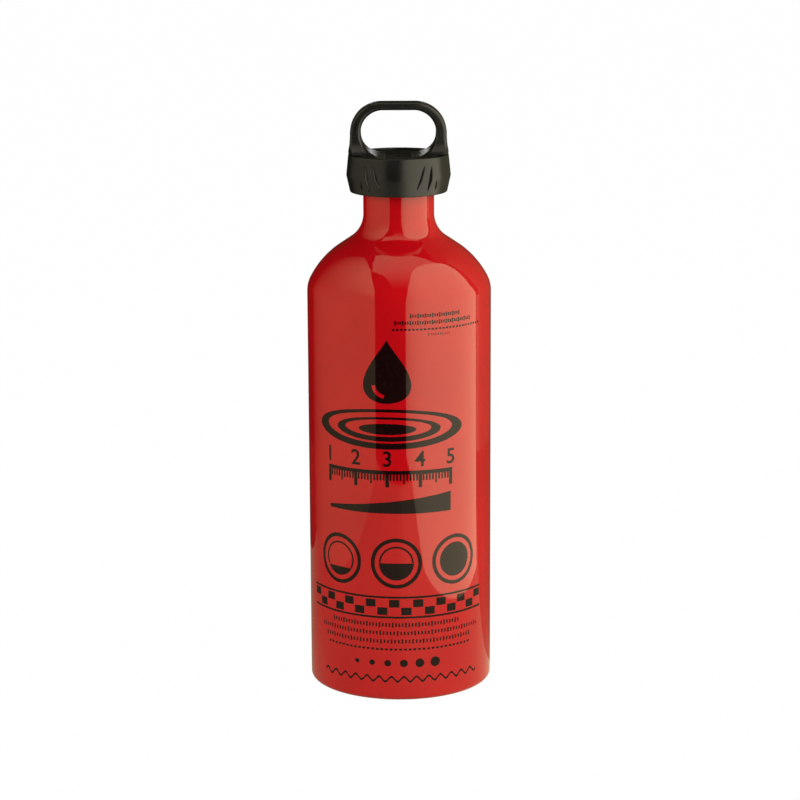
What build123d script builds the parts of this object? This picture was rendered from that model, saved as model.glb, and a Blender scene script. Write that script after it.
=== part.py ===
from build123d import *
import os
from math import acos, atan2, cos, degrees, hypot, pi, radians, sin, sqrt

# Camping fuel bottle with a push-and-turn screw cap that carries a finger loop.
# Millimetres, +Z up, origin at the centre of the ring that the bottle stands on.
# The loop lies in the XZ plane, so its open side faces -Y, the front.

os.makedirs("parts", exist_ok=True)

# Bottle shell: one seamless aluminium piece
barrel_diameter = 73.0
wall = 0.9
base_thickness = 1.6
base_edge_radius = 2.0
standing_ring_width = 8.5
dome_rise = 4.0
dome_inner_blend = 3.0
barrel_height = 159.3
corner_radius = 11.6
corner_angle = 27.4
shoulder_radius = 34.7
shoulder_straight = 5.86
flare_radius = 11.2
neck_diameter = 28.0
neck_wall = 2.6
neck_length = 13.0
lip_round = 0.7
lip_bevel = 0.6

# Closure: heights stack upwards from the lip of the neck
seal_height = 2.0
seal_width = 2.6
seal_round = 0.8
seal_clearance = 0.2
shank_clearance = 0.6
shank_length = 3.6
thread_space = 1.8
stem_length = 11.0
stem_wall = 2.4
stem_bevel = 0.8
flange_thickness = 2.2
flange_rim_width = 2.3
flange_rim_drop = 1.4
flange_bevel = 0.4
web_thickness = 2.0

# Clutch: dogs on the plug and under the cap, clear of each other until the cap is pushed down
dog_count = 12
dog_rim_inset = 5.3
dog_length = 3.2
dog_side_gap = 0.2
dog_height = 1.7
dog_taper = 8.0
dog_gap = 0.3

# Wave spring between the flange and the cap
spring_side_clearance = 1.1
spring_thickness = 0.5
spring_waves = 3
spring_clearance = 0.05

# Grip ring: the skirt of the cap
skirt_overlap = 4.25
ring_waist_rise = 6.6
ring_bottom_wall = 1.85
ring_waist_wall = 3.3
ring_top_wall = 2.45
ring_bottom_round = 0.4
ring_waist_round = 1.5
rim_height = 0.8
rim_round = 0.5
cavity_clearance = 0.4
neck_clearance = 0.6
catch_clearance = 0.1
snap_clearance = 0.05
snap_depth = 0.4
snap_height = 0.8

# Slanted grip cuts in the skirt, each the mark of one bevelled wheel
cut_angles = (25.8, 37.6, 47.2)
cut_slants = (20.0, 10.0, 0.0)
cut_lengths = (11.4, 11.0, 4.2)
cut_widths = (1.0, 1.5, 1.2)
cut_depths = (0.75, 0.95, 0.75)
cut_rises = (7.55, 6.85, 3.95)

# Bail cap: disc with the finger loop
disc_thickness = 1.9
loop_height = 21.2
loop_inset = 0.75
leg_thickness = 4.3
loop_corner_radius = 12.4
loop_bar_height = 3.15
loop_depth = 8.0
loop_edge_round = 1.3
foot_depth = 30.0
foot_reach = 10.0
foot_overhang = 2.0
foot_gap = 0.4
foot_shares = (0.0, 0.08, 0.22, 0.45, 0.7, 1.0)
corner_shares = (0.0, 0.33, 0.67, 1.0)
gate_diameter = 1.6
gate_depth = 0.3

# Worked out from the sizes above
barrel_radius = barrel_diameter / 2
neck_radius = neck_diameter / 2
bore_radius = neck_radius - neck_wall
standing_ring_inner = barrel_radius - base_edge_radius - standing_ring_width
inner_radius = barrel_radius - wall

# The shoulder turns just so far that its arcs and its straight part reach from barrel to neck
corner_turn = radians(corner_angle)
arcs_radius = shoulder_radius + flare_radius
arcs_reach = corner_radius + (shoulder_radius - corner_radius) * cos(corner_turn) + flare_radius
turn_share = (arcs_reach - barrel_radius + neck_radius) / hypot(arcs_radius, shoulder_straight)
shoulder_turn = acos(turn_share) - atan2(shoulder_straight, arcs_radius)
shoulder_angle = degrees(shoulder_turn)
shoulder_rise = arcs_radius * sin(shoulder_turn) + shoulder_straight * cos(shoulder_turn)
shoulder_rise -= (shoulder_radius - corner_radius) * sin(corner_turn)
lip_height = barrel_height + shoulder_rise + neck_length

shank_radius = bore_radius - shank_clearance
stem_radius = bore_radius - thread_space
flange_radius = neck_radius + neck_clearance + flange_rim_width
flange_bottom = lip_height + seal_height
flange_top = flange_bottom + flange_thickness
flange_rim_bottom = flange_bottom - flange_rim_drop
plug_dog_top = flange_top + dog_height
disc_bottom = plug_dog_top + dog_gap + dog_height
disc_top = disc_bottom + disc_thickness
rim_top = disc_top + rim_height
dog_middle = flange_radius - dog_rim_inset - dog_length / 2
dog_width = pi * (dog_middle - dog_length / 2) / dog_count - dog_side_gap

cavity_radius = flange_radius + cavity_clearance
disc_radius = cavity_radius - snap_clearance
ring_bottom_height = lip_height - skirt_overlap
ring_waist_height = ring_bottom_height + ring_waist_rise
ring_bottom_radius = cavity_radius + ring_bottom_wall
ring_waist_radius = cavity_radius + ring_waist_wall
ring_top_radius = cavity_radius + ring_top_wall
loop_top_height = disc_top + loop_height
foot_bottom = rim_top + foot_gap


def dome_radius(rise, reach):
    """Radius of the arc that rises by `rise` over half a chord of `reach`."""
    return (rise**2 + reach**2) / (2 * rise)


def shoulder_line(side_radius, neck_side_radius, inset):
    """Draws one face of the shoulder, set in by `inset`, from the barrel up to the neck; returns its top."""
    corner = JernArc((side_radius, barrel_height), (0, 1), corner_radius - inset, corner_angle)
    crown = JernArc(corner @ 1, corner % 1, shoulder_radius - inset, shoulder_angle - corner_angle)
    reach = (flare_radius + inset) * (1 - cos(shoulder_turn))
    length = ((crown @ 1).X - neck_side_radius - reach) / sin(shoulder_turn)
    straight = Line(crown @ 1, crown @ 1 + (crown % 1) * length)
    flare = JernArc(straight @ 1, straight % 1, flare_radius + inset, -shoulder_angle)
    return flare @ 1


# Bottle: revolved wall with a domed base, crowned shoulder, flare and bored neck
with BuildPart() as bottle:
    with BuildSketch(Plane.XZ):
        with BuildLine():
            FilletPolyline(
                (standing_ring_inner, 0),
                (barrel_radius, 0),
                (barrel_radius, barrel_height),
                radius=base_edge_radius,
            )
            neck_start = shoulder_line(barrel_radius, neck_radius, 0)
            Line(neck_start, (neck_radius, lip_height))
            Line((neck_radius, lip_height), (bore_radius, lip_height))
            bore_start = shoulder_line(inner_radius, bore_radius, wall)
            Line((bore_radius, lip_height), bore_start)
            FilletPolyline(
                (inner_radius, barrel_height),
                (inner_radius, base_thickness),
                (standing_ring_inner, base_thickness),
                radius=dome_inner_blend,
            )
            RadiusArc(
                (standing_ring_inner, base_thickness),
                (0, base_thickness + dome_rise),
                -dome_radius(dome_rise, standing_ring_inner),
            )
            Line((0, base_thickness + dome_rise), (0, dome_rise))
            RadiusArc((0, dome_rise), (standing_ring_inner, 0), dome_radius(dome_rise, standing_ring_inner))
        make_face()
    revolve(axis=Axis.Z)
    lip_edges = bottle.edges().filter_by(GeomType.CIRCLE).group_by(Axis.Z)[-1].sort_by(SortBy.RADIUS)
    chamfer(lip_edges[0], length=lip_bevel)
    lip_edges = bottle.edges().filter_by(GeomType.CIRCLE).group_by(Axis.Z)[-1].sort_by(SortBy.RADIUS)
    fillet(lip_edges[-1], radius=lip_round)
bottle.part.label = "bottle"
export_step(bottle.part, "parts/bottle.step")

# Sealing ring on the lip, round the shank of the plug
with BuildPart() as o_ring:
    with BuildSketch(Plane.XZ):
        seal_centre = shank_radius + seal_clearance + seal_width / 2
        with Locations((seal_centre, lip_height + seal_height / 2)):
            RectangleRounded(seal_width, seal_height, seal_round)
    revolve(axis=Axis.Z)
o_ring.part.label = "o_ring"
export_step(o_ring.part, "parts/o_ring.step")

# Threaded plug: hollow stem, plain shank, flange with a rim that hides the seal, clutch dogs
with BuildPart() as threaded_plug:
    stem_bottom = flange_bottom - shank_length - stem_length
    rim_inner = flange_radius - flange_rim_width
    with BuildSketch(Plane.XZ):
        with BuildLine():
            Polyline(
                (0, flange_top),
                (flange_radius - flange_bevel, flange_top),
                (flange_radius, flange_top - flange_bevel),
                (flange_radius, flange_rim_bottom),
                (rim_inner, flange_rim_bottom),
                (rim_inner, flange_bottom),
                (shank_radius, flange_bottom),
                (shank_radius, flange_bottom - shank_length),
                (stem_radius, flange_bottom - shank_length),
                (stem_radius, stem_bottom + stem_bevel),
                (stem_radius - stem_bevel, stem_bottom),
                (stem_radius - stem_wall, stem_bottom),
                (stem_radius - stem_wall, flange_top - web_thickness),
                (0, flange_top - web_thickness),
                close=True,
            )
        make_face()
    revolve(axis=Axis.Z)
    with BuildSketch(Plane.XY.offset(flange_top)):
        with PolarLocations(dog_middle, dog_count):
            Rectangle(dog_length, dog_width)
    extrude(amount=dog_height, taper=dog_taper)
threaded_plug.part.label = "threaded_plug"
export_step(threaded_plug.part, "parts/threaded_plug.step")

# Wave spring: a flat wire ring bent into even waves between two levels
spring_middle = (flange_top + disc_bottom) / 2
wave_height = (disc_bottom - flange_top - spring_thickness) / 2 - spring_clearance
spring_inner = dog_middle + dog_length / 2 + spring_side_clearance
spring_outer = cavity_radius - cavity_clearance - spring_side_clearance
wave_points = 12 * spring_waves


def wave_edge(radius, lift):
    """Closed wavy edge of the spring at `radius`, `lift` above its middle surface."""
    places = []
    for index in range(wave_points):
        turn = 360 * index / wave_points
        height = spring_middle + lift + wave_height * cos(radians(spring_waves * turn))
        places.append(Vector(radius, 0, height).rotate(Axis.Z, turn))
    return Edge.make_spline(places, periodic=True)


with BuildPart() as wave_spring:
    corners = [
        wave_edge(spring_inner, -spring_thickness / 2),
        wave_edge(spring_outer, -spring_thickness / 2),
        wave_edge(spring_outer, spring_thickness / 2),
        wave_edge(spring_inner, spring_thickness / 2),
    ]
    sides = [Face.make_surface_from_curves(corners[i - 1], corners[i]) for i in range(len(corners))]
    add(Solid(Shell(sides)))
wave_spring.part.label = "wave_spring"
export_step(wave_spring.part, "parts/wave_spring.step")

# Grip ring: tapered skirt, catch under the flange, groove for the disc, slanted grip cuts
with BuildPart() as grip_ring:
    skirt_hole = neck_radius + neck_clearance
    catch_top = flange_rim_bottom - catch_clearance
    snap_middle = (disc_bottom + disc_top) / 2
    snap_half = snap_height / 2 + snap_clearance
    with BuildSketch(Plane.XZ):
        with BuildLine():
            FilletPolyline(
                (skirt_hole, ring_bottom_height),
                (ring_bottom_radius, ring_bottom_height),
                (ring_waist_radius, ring_waist_height),
                (ring_top_radius, rim_top),
                (cavity_radius, rim_top),
                radius=[ring_bottom_round, ring_waist_round, rim_round],
            )
            Polyline(
                (cavity_radius, rim_top),
                (cavity_radius, snap_middle + snap_half),
                (cavity_radius + snap_depth, snap_middle),
                (cavity_radius, snap_middle - snap_half),
                (cavity_radius, catch_top),
                (skirt_hole, catch_top),
                (skirt_hole, ring_bottom_height),
            )
        make_face()
    revolve(axis=Axis.Z)

    def skirt_radius(height):
        """Radius of the skirt's tapered side, above or below its waist."""
        if height > ring_waist_height:
            share = (height - ring_waist_height) / (rim_top - ring_waist_height)
            return ring_waist_radius + share * (ring_top_radius - ring_waist_radius)
        share = (ring_waist_height - height) / ring_waist_rise
        return ring_waist_radius + share * (ring_bottom_radius - ring_waist_radius)

    for angle, slant, length, width, depth, rise in zip(
        cut_angles, cut_slants, cut_lengths, cut_widths, cut_depths, cut_rises
    ):
        height = ring_bottom_height + rise
        wheel_radius = (length**2 / 4 + depth**2) / (2 * depth)
        wheel_half_width = wheel_radius * width / (2 * depth)
        for turn, lean in ((angle, slant), (-angle, -slant), (180 - angle, -slant), (180 + angle, slant)):
            outward = Vector(0, -1, 0).rotate(Axis.Z, turn)
            along = Vector(0, 0, 1).rotate(Axis((0, 0, 0), outward), -lean)
            centre = outward * (skirt_radius(height) - depth + wheel_radius) + Vector(0, 0, height)
            with Locations(Plane(centre, x_dir=outward, z_dir=outward.cross(along))):
                Cone(
                    wheel_radius,
                    0,
                    wheel_half_width,
                    align=(Align.CENTER, Align.CENTER, Align.MIN),
                    mode=Mode.SUBTRACT,
                )
                Cone(
                    wheel_radius,
                    0,
                    wheel_half_width,
                    rotation=(180, 0, 0),
                    align=(Align.CENTER, Align.CENTER, Align.MIN),
                    mode=Mode.SUBTRACT,
                )
grip_ring.part.label = "grip_ring"
export_step(grip_ring.part, "parts/grip_ring.step")

# Bail cap: each half of the loop is a loft from a broad foot, up the leg, to the middle of the bar
leg_outer = ring_top_radius - loop_inset
leg_inner = leg_outer - leg_thickness
bar_middle = loop_top_height - loop_bar_height / 2
corner_height = loop_top_height - loop_corner_radius


def foot_flare(share):
    """Quarter-round flare: 1 at the disc, falling to 0 where the foot ends in the straight leg."""
    return 1 - sqrt(1 - (1 - share) ** 2)


def foot_stations():
    """Centre, direction, thickness and depth of the sections from the disc up to the straight leg."""
    stations = []
    for share in foot_shares:
        flare = foot_flare(share)
        inner = leg_inner - flare * foot_reach
        outer = leg_outer + flare * foot_overhang
        height = disc_top + share * (corner_height - disc_top)
        depth = loop_depth + flare * (foot_depth - loop_depth)
        stations.append((Vector((inner + outer) / 2, 0, height), Vector(0, 0, 1), outer - inner, depth))
    return stations


def arch_stations():
    """Centre, direction, thickness and depth of the sections round the corner to the middle of the bar."""
    stations = []
    for share in corner_shares:
        thickness = leg_thickness + share * (loop_bar_height - leg_thickness)
        outward = Vector(1, 0, 0).rotate(Axis.Y, -90 * share)
        corner_centre = Vector(leg_outer - loop_corner_radius, 0, corner_height)
        centre = corner_centre + outward * (loop_corner_radius - thickness / 2)
        stations.append((centre, Vector(0, 0, 1).rotate(Axis.Y, -90 * share), thickness, loop_depth))
    stations.append((Vector(0, 0, bar_middle), Vector(-1, 0, 0), loop_bar_height, loop_depth))
    return stations


with BuildPart() as bail_cap:
    for stations in (foot_stations(), arch_stations()):
        for centre, direction, thickness, depth in stations:
            across = Vector(0, 1, 0).cross(direction)
            with BuildSketch(Plane(centre, x_dir=across, z_dir=direction)):
                RectangleRounded(thickness, depth, loop_edge_round)
        loft()
    with BuildSketch(Plane.XY.offset(disc_top)):
        Circle(ring_top_radius)
    extrude(amount=loop_top_height, mode=Mode.INTERSECT)
    mirror(about=Plane.YZ)
    with BuildSketch(Plane.XY.offset(disc_top)):
        Circle(barrel_radius)
        Circle(disc_radius, mode=Mode.SUBTRACT)
    extrude(amount=foot_bottom - disc_top, mode=Mode.SUBTRACT)
    with BuildSketch(Plane.XZ):
        with BuildLine():
            Polyline(
                (0, disc_bottom),
                (disc_radius, disc_bottom),
                (disc_radius, snap_middle - snap_height / 2),
                (disc_radius + snap_depth, snap_middle),
                (disc_radius, snap_middle + snap_height / 2),
                (disc_radius, disc_top),
                (0, disc_top),
                close=True,
            )
        make_face()
    revolve(axis=Axis.Z)
    with BuildSketch(Plane.XY.offset(disc_bottom)):
        with PolarLocations(dog_middle, dog_count, start_angle=180 / dog_count):
            Rectangle(dog_length, dog_width)
    extrude(amount=-dog_height, taper=dog_taper)
    with Locations((0, 0, disc_top)):
        Cone(
            0,
            gate_diameter / 2,
            gate_depth,
            align=(Align.CENTER, Align.CENTER, Align.MAX),
            mode=Mode.SUBTRACT,
        )
bail_cap.part.label = "bail_cap"
export_step(bail_cap.part, "parts/bail_cap.step")
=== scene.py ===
"""Camping fuel bottle: red enamelled aluminium with a black push-and-turn cap and finger loop."""

import logging
import math
from dataclasses import dataclass
from enum import Enum
from typing import Any, Callable, Sequence, Union

import bmesh
import bpy
import numpy as np
from mathutils import Matrix, Vector


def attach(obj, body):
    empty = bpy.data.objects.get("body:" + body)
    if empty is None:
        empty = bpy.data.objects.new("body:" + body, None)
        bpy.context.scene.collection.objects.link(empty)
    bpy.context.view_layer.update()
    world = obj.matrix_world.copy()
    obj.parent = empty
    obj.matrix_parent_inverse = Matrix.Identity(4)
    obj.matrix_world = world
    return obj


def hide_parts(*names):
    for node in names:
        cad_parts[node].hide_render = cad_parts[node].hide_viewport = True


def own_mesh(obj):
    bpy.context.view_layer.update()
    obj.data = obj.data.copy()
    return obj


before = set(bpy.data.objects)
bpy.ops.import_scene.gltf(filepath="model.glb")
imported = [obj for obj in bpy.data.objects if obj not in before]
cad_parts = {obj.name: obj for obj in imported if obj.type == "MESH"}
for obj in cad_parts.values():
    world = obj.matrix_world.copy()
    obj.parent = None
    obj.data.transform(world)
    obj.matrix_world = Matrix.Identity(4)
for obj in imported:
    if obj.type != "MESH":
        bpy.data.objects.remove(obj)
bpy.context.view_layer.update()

MM = 0.001
Point = tuple[float, float]
Corner = tuple[float, float, float]
Colour = tuple[float, float, float]
Stops = tuple[tuple[float, float], ...]
log = logging.getLogger("fuel_bottle")


# Shader helpers


def maths(operation: str, swapped: bool = False) -> Callable[["Signal", "Value"], "Signal"]:
    """A method of Signal that adds one Math node.

    Args:
        operation: Blender's name of the operation.
        swapped: whether the other value goes in first.

    Returns:
        The method.
    """

    def method(self: "Signal", other: "Value") -> "Signal":
        """Result of the operation on this signal and another value."""
        values = (other, self) if swapped else (self, other)
        return self.graph.add("ShaderNodeMath", {"operation": operation}, dict(enumerate(values)))

    return method


class Signal:
    """One output socket of a node tree; arithmetic on it adds Math nodes."""

    def __init__(self, graph: "Graph", socket: bpy.types.NodeSocket | None) -> None:
        """Keeps the socket and the graph that it belongs to."""
        self.graph = graph
        self.socket = socket

    __add__ = __radd__ = maths("ADD")
    __sub__ = maths("SUBTRACT")
    __rsub__ = maths("SUBTRACT", swapped=True)
    __mul__ = __rmul__ = maths("MULTIPLY")
    __truediv__ = maths("DIVIDE")
    largest = maths("MAXIMUM")
    angle_to = maths("ARCTAN2")

    def sibling(self, name: str) -> "Signal":
        """Another output of the same node."""
        return Signal(self.graph, self.socket.node.outputs[name])

    def step(self, low: float, high: float) -> "Signal":
        """Smooth step from 0 at `low` to 1 at `high`, held there; `low` may be the larger.

        Args:
            low: value at which the step starts.
            high: value at which it ends.

        Returns:
            The stepped signal.
        """
        if low > high:
            return 1 - self.step(high, low)
        inputs = {"Value": self, "From Min": low, "From Max": high}
        return self.graph.add("ShaderNodeMapRange", {"interpolation_type": "SMOOTHSTEP"}, inputs)


Value = Union[float, Signal]


class Graph:
    """The node tree of a material or the world, filled through one method."""

    noise_roughness = 0.55

    def __init__(self, owner: bpy.types.Material | bpy.types.World) -> None:
        """Empties the owner's node tree.

        Args:
            owner: material or world to fill.
        """
        owner.use_nodes = True
        self.tree = owner.node_tree
        self.tree.nodes.clear()

    def add(
        self,
        kind: str,
        settings: dict[str, Any] | None = None,
        inputs: dict[str | int, Any] | None = None,
        output: str | int = 0,
    ) -> Signal:
        """Adds one node: settings first, then the values and links of its sockets.

        Args:
            kind: type name of the node.
            settings: attributes of the node; "stops" sets a colour ramp.
            inputs: values or signals by socket name, identifier or number.
            output: the socket that is handed back.

        Returns:
            The chosen output as a signal.
        """
        node = self.tree.nodes.new(kind)
        for name, value in (settings or {}).items():
            if name == "stops":
                self._set_stops(node.color_ramp, value)
            else:
                setattr(node, name, value)
        for name, value in (inputs or {}).items():
            socket = self._find(node.inputs, name)
            if isinstance(value, Signal):
                self.tree.links.new(value.socket, socket)
            else:
                socket.default_value = value
        return Signal(self, self._find(node.outputs, output) if len(node.outputs) else None)

    @staticmethod
    def _find(sockets: Any, name: str | int) -> bpy.types.NodeSocket:
        """The socket of that number, identifier or name.

        Args:
            sockets: inputs or outputs of a node.
            name: number, identifier or name.

        Returns:
            The first that fits.
        """
        if isinstance(name, int):
            return sockets[name]
        return next((socket for socket in sockets if socket.identifier == name), None) or sockets[name]

    @staticmethod
    def _set_stops(ramp: bpy.types.ColorRamp, stops: Stops) -> None:
        """Sets a grey ramp from (position, level) pairs.

        Args:
            ramp: ramp of a node.
            stops: positions and levels in rising order.
        """
        while len(ramp.elements) > 1:
            ramp.elements.remove(ramp.elements[-1])
        for index, (position, level) in enumerate(stops):
            element = ramp.elements[0] if index == 0 else ramp.elements.new(position)
            element.position = position
            element.color = (level, level, level, 1.0)

    def emission(self, colour: Colour, strength: Value) -> Signal:
        """Plain glow of that colour and strength."""
        return self.add("ShaderNodeEmission", None, {"Color": opaque(colour), "Strength": strength})

    def mix(self, factor: Value, first: Signal, second: Signal) -> Signal:
        """Mixes two shaders, `factor` being the share of the second."""
        return self.add("ShaderNodeMixShader", None, {0: factor, 1: first, 2: second})

    def finish(self, surface: Signal, kind: str = "Material") -> None:
        """Makes a shader the surface of the material or world."""
        self.add(f"ShaderNodeOutput{kind}", None, {"Surface": surface})

    def place(self) -> Signal:
        """Position on the piece, in metres."""
        return self.add("ShaderNodeTexCoord", output="Object")

    def axis(self, name: str) -> Signal:
        """One coordinate of the position, in metres."""
        return self.add("ShaderNodeSeparateXYZ", None, {0: self.place()}, name)

    def stretched(self, scale: Corner) -> Signal:
        """Position on the piece with each axis multiplied by its own factor."""
        return self.add("ShaderNodeVectorMath", {"operation": "MULTIPLY"}, {0: self.place(), 1: scale})

    def noise(self, grain_mm: float, detail: float = 2.0, at: Signal | None = None) -> Signal:
        """Soft noise between 0 and 1.

        Args:
            grain_mm: width of the features, in millimetres.
            detail: number of finer layers.
            at: position to read; the piece's own where it is left out.

        Returns:
            The noise value.
        """
        inputs = {"Vector": at or self.place(), "Scale": 1 / (grain_mm * MM), "Detail": detail}
        inputs["Roughness"] = self.noise_roughness
        return self.add("ShaderNodeTexNoise", {"noise_dimensions": "3D"}, inputs, "Fac")

    def blend(self, factor: Value, first: Colour | Signal, second: Colour) -> Signal:
        """Mixes two colours, `factor` being the share of the second."""
        inputs = {"Factor_Float": factor, "A_Color": opaque(first), "B_Color": opaque(second)}
        return self.add("ShaderNodeMix", {"data_type": "RGBA"}, inputs, "Result_Color")

    def bump(self, height: Signal, depth_mm: float) -> Signal:
        """Normal of a relief `depth_mm` deep."""
        inputs = {"Height": height, "Distance": depth_mm * MM, "Strength": 1.0}
        return self.add("ShaderNodeBump", None, inputs)


def opaque(colour: Colour | Signal) -> Any:
    """A plain colour with full alpha; a signal stays as it is."""
    return colour if isinstance(colour, Signal) else (*colour, 1.0)


# Finishes


@dataclass(frozen=True)
class Finish:
    """A finish that dresses pieces; each kind wires its own Principled shader."""

    label: str
    slot: str | None = None

    def sockets(self, graph: Graph) -> dict[str | int, Any]:
        """Values and signals for the Principled shader."""
        raise NotImplementedError

    def material(self) -> bpy.types.Material:
        """The finish as a Blender material, made once.

        Returns:
            The material, the same one at each call.
        """
        made = bpy.data.materials.get(self.label)
        if made is None:
            made = bpy.data.materials.new(self.label)
            graph = Graph(made)
            graph.finish(graph.add("ShaderNodeBsdfPrincipled", None, self.sockets(graph)))
        return made


@dataclass(frozen=True)
class Enamel(Finish):
    """Stoved gloss enamel over aluminium, rubbed where the bottle stands."""

    colour: Colour = (0.47, 0.0032, 0.0065)
    deep: Colour = (0.42, 0.0022, 0.0055)
    metal: Colour = (0.77, 0.77, 0.76)
    stand_height_mm: float = 1.2

    def sockets(self, graph: Graph) -> dict[str | int, Any]:
        """Red with slow drift, fine flow marks in the gloss and small chips at the standing edge.

        Args:
            graph: node tree of the material.

        Returns:
            Values and signals of the shader's sockets by name.
        """
        drift = graph.noise(38.0, 3.0)
        paint = graph.blend(drift.step(0.35, 0.7), self.colour, self.deep)
        low = graph.axis("Z").step(self.stand_height_mm * MM, 0.0)
        chips = (graph.noise(0.9, 4.0) + low * 0.22).step(0.74, 0.78) * low
        flow = graph.noise(1.6, 1.0) + 0.25 * graph.noise(0.5, 1.0)
        return {
            "Base Color": graph.blend(chips, paint, self.metal),
            "Metallic": chips,
            "Roughness": 0.42 + 0.06 * graph.noise(6.0),
            "Specular IOR Level": 0.0,
            "Coat Weight": 1 - 0.7 * chips,
            "Coat Roughness": 0.035,
            "Normal": graph.bump(flow - 0.4 * chips, 0.0022),
        }


@dataclass(frozen=True)
class TurnedAluminium(Finish):
    """Bare aluminium with the fine rings that drawing and turning leave."""

    colour: Colour = (0.72, 0.72, 0.73)

    def sockets(self, graph: Graph) -> dict[str | int, Any]:
        """Grey metal whose streaks run round the axis.

        Args:
            graph: node tree of the material.

        Returns:
            Values and signals of the shader's sockets by name.
        """
        rings = graph.noise(0.35, 3.0, graph.stretched((0.04, 0.04, 1.0)))
        stain = graph.noise(7.0, 3.0)
        return {
            "Base Color": graph.blend(stain.step(0.4, 0.8) * 0.35, self.colour, (0.5, 0.5, 0.5)),
            "Metallic": 1.0,
            "Roughness": 0.26 + 0.16 * rings,
            "Normal": graph.bump(rings, 0.006),
        }


@dataclass(frozen=True)
class ScreenInk(Finish):
    """Black screen ink under the same gloss as the enamel."""

    colour: Colour = (0.0075, 0.0018, 0.0018)
    thin: Colour = (0.015, 0.0035, 0.0035)

    def sockets(self, graph: Graph) -> dict[str | int, Any]:
        """Black with slightly thinner patches and a fine mesh grain.

        Args:
            graph: node tree of the material.

        Returns:
            Values and signals of the shader's sockets by name.
        """
        patches = graph.noise(1.3, 3.0)
        return {
            "Base Color": graph.blend(patches.step(0.5, 0.75), self.colour, self.thin),
            "Roughness": 0.4 + 0.1 * patches,
            "Specular IOR Level": 0.0,
            "Coat Weight": 0.52,
            "Coat Roughness": 0.05,
            "Normal": graph.bump(graph.noise(0.3, 2.0), 0.0012),
        }


@dataclass(frozen=True)
class MouldedPlastic(Finish):
    """Moulded nylon with a fine spark-eroded grain."""

    colour: Colour = (0.0052, 0.0050, 0.0050)
    pale: Colour = (0.0105, 0.0100, 0.0098)
    roughness: float = 0.22
    gloss: float = 0.4
    sheen: Colour = (0.86, 0.89, 1.0)
    grain_mm: float = 0.16
    depth_mm: float = 0.006

    def sockets(self, graph: Graph) -> dict[str | int, Any]:
        """Black with faint flow clouds, fine grain and a few rubbed patches.

        Args:
            graph: node tree of the material.

        Returns:
            Values and signals of the shader's sockets by name.
        """
        clouds = graph.noise(5.0, 3.0)
        rubbed = graph.noise(2.2, 4.0).step(0.58, 0.72)
        grain = graph.noise(self.grain_mm, 2.0)
        return {
            "Base Color": graph.blend(clouds.step(0.35, 0.75) * 0.7 + rubbed * 0.2, self.colour, self.pale),
            "Roughness": self.roughness + 0.08 * grain - 0.07 * rubbed,
            "Specular IOR Level": self.gloss,
            "Specular Tint": opaque(self.sheen),
            "Normal": graph.bump(grain + 0.6 * clouds, self.depth_mm),
        }


@dataclass(frozen=True)
class SealRubber(Finish):
    """Nitrile rubber with a dusty bloom."""

    colour: Colour = (0.018, 0.018, 0.018)
    bloom: Colour = (0.05, 0.05, 0.048)

    def sockets(self, graph: Graph) -> dict[str | int, Any]:
        """Dark grey with pale bloom patches.

        Args:
            graph: node tree of the material.

        Returns:
            Values and signals of the shader's sockets by name.
        """
        bloom = graph.noise(1.5, 4.0)
        return {
            "Base Color": graph.blend(bloom.step(0.5, 0.8) * 0.6, self.colour, self.bloom),
            "Roughness": 0.55 + 0.2 * bloom,
            "Normal": graph.bump(graph.noise(0.25, 2.0), 0.006),
        }


@dataclass(frozen=True)
class SpringSteel(Finish):
    """Rolled spring steel, slightly blued."""

    colour: Colour = (0.48, 0.47, 0.45)

    def sockets(self, graph: Graph) -> dict[str | int, Any]:
        """Steel with rolling streaks round the ring.

        Args:
            graph: node tree of the material.

        Returns:
            Values and signals of the shader's sockets by name.
        """
        streaks = graph.noise(0.4, 3.0, graph.stretched((0.2, 0.2, 1.0)))
        return {
            "Base Color": graph.blend(streaks, self.colour, (0.36, 0.37, 0.40)),
            "Metallic": 1.0,
            "Roughness": 0.28 + 0.15 * streaks,
            "Normal": graph.bump(streaks, 0.003),
        }


ENAMEL = Enamel("gloss_red_enamel", "painted_aluminium")
ALUMINIUM = TurnedAluminium("turned_aluminium", "painted_aluminium")
INK = ScreenInk("black_screen_ink")
CAP_PLASTIC = MouldedPlastic("black_cap_plastic", "cap_plastic")
DISC_PLASTIC = MouldedPlastic(
    "matt_disc_plastic", "cap_plastic", roughness=0.62, gloss=0.12, grain_mm=0.24, depth_mm=0.02
)
PLUG_PLASTIC = MouldedPlastic(
    "dark_plug_plastic", "plug_plastic", (0.035, 0.035, 0.036), (0.055, 0.055, 0.055), 0.48
)
RUBBER = SealRubber("seal_rubber", "seal_rubber")
STEEL = SpringSteel("spring_steel", "spring_steel")


# Mesh helpers


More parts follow.
